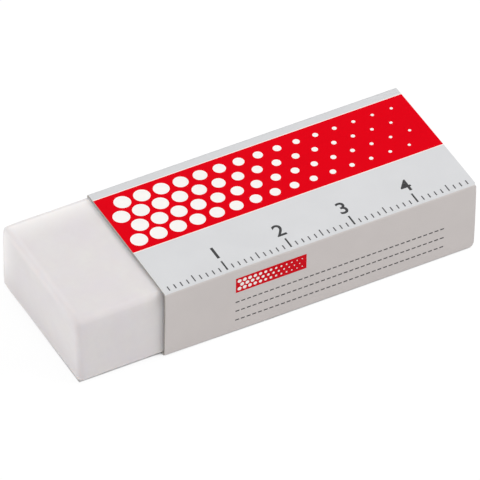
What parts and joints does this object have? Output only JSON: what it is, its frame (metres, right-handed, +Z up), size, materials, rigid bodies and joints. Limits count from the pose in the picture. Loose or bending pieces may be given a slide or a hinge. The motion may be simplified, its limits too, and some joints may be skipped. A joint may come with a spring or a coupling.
{
  "type": "eraser",
  "caption": "White vinyl block eraser held in a folded, glued card sleeve, with its rubbing end bare; the block slides lengthwise and can be pushed out.",
  "frame": {"origin": "middle of the underside of the whole eraser, bare end included", "axes": "+X along the length, away from the bare rubbing end; +Y across, towards the rear long side; +Z up, out of the face that shows"},
  "size_m": [0.0624, 0.0232, 0.0119],
  "materials": {
    "white_vinyl": "satin",
    "printed_card": "satin",
    "clear_adhesive": "satin"
  },
  "bodies": {
    "sleeve": {"card_sleeve": "printed_card", "seam_glue": "clear_adhesive"},
    "block": {"eraser_block": "white_vinyl"}
  },
  "joints": [
    {"name": "block_slide", "type": "slide", "parent": "sleeve", "child": "block", "axis": [-1, 0, 0], "range_m": [-0.0625, 0.0498]}
  ]
}
